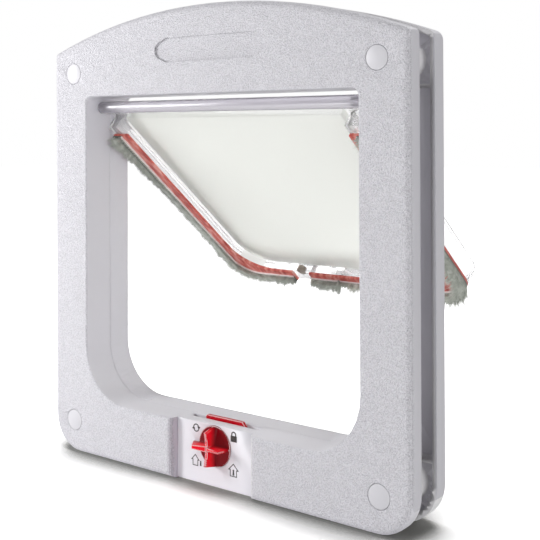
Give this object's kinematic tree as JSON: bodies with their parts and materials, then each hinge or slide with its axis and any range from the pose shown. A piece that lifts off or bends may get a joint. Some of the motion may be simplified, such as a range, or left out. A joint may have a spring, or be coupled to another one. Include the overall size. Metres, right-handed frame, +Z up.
{
  "type": "locking cat flap",
  "caption": "Arched door frame pair with a clear top-hung swinging flap, draught strips along its sides and bottom, and a turning dial that moves a latch at the threshold.",
  "frame": {"origin": "middle of the cat opening, on the plane where the front frame lies on the door's indoor face", "axes": "+X to the right as seen from indoors, +Y through the door towards outdoors, +Z up"},
  "size_m": [0.24, 0.1451, 0.2514],
  "materials": {
    "front_shell": "fine leather grain outside, smooth in the tunnel and on the lock panel",
    "rear_shell": "satin",
    "clear_flap": "clear, polished",
    "red_plastic": "smooth",
    "steel": "plated",
    "magnet": "satin",
    "red_strip": "satin",
    "pile": "dense soft pile"
  },
  "bodies": {
    "frame": {"front_frame": "front_shell", "rear_frame": "rear_shell", "screw_cap_top_left": "front_shell", "screw_cap_top_right": "front_shell", "screw_cap_bottom_left": "front_shell", "screw_cap_bottom_right": "front_shell", "fixing_screw_top_left": "steel", "fixing_screw_top_right": "steel", "fixing_screw_bottom_left": "steel", "fixing_screw_bottom_right": "steel", "click_spring": "steel", "lock_cover": "rear_shell", "threshold_magnet_left": "magnet", "threshold_magnet_right": "magnet"},
    "flap": {"flap_panel": "clear_flap", "hinge_pin_left": "steel", "hinge_pin_right": "steel", "flap_magnet_left": "magnet", "flap_magnet_right": "magnet", "adhesive_strip_left": "red_strip", "adhesive_strip_bottom": "red_strip", "adhesive_strip_right": "red_strip", "pile_strip_left": "pile", "pile_strip_bottom": "pile", "pile_strip_right": "pile"},
    "dial": {"dial_knob": "red_plastic", "latch_rotor": "red_plastic", "dial_screw": "steel"}
  },
  "joints": [
    {"name": "flap_swing", "type": "hinge", "parent": "frame", "child": "flap", "pos_m": [0, 0.0035, 0.0802], "axis": [1, 0, 0], "range_deg": [-124, 39]},
    {"name": "dial_turn", "type": "hinge", "parent": "frame", "child": "dial", "pos_m": [0, -0.0035, -0.0974], "axis": [0, -1, 0], "range_deg": [-135, 135]}
  ]
}
